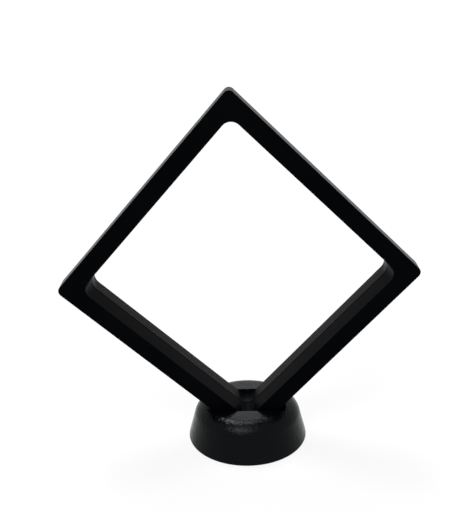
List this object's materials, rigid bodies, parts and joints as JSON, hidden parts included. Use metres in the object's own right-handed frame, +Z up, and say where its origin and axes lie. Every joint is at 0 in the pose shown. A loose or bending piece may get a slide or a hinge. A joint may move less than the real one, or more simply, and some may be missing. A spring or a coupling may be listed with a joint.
{
  "type": "floating frame display case",
  "caption": "Square display frame with clear films that hold a small object, standing on one corner in a round stand.",
  "frame": {"origin": "centre of the round stand's underside, on the table plane", "axes": "+Z up, the front of the frame faces -Y, +X to the right as seen from the front"},
  "size_m": [0.1533, 0.0556, 0.1566],
  "materials": {
    "frame_black": "smooth satin moulding",
    "stand_black": "fine leather-grain moulding",
    "carrier_black": "plain moulding, hidden",
    "clear_film": "clear elastic film"
  },
  "bodies": {
    "stand": {"stand": "stand_black"},
    "frame": {"front_frame": "frame_black", "rear_frame": "frame_black", "front_film_carrier": "carrier_black", "rear_film_carrier": "carrier_black", "front_film": "clear_film", "rear_film": "clear_film"}
  },
  "joints": [
    {"name": "frame_lift", "type": "slide", "parent": "stand", "child": "frame", "axis": [0, 0, 1], "range_m": [0, 0.025]}
  ]
}
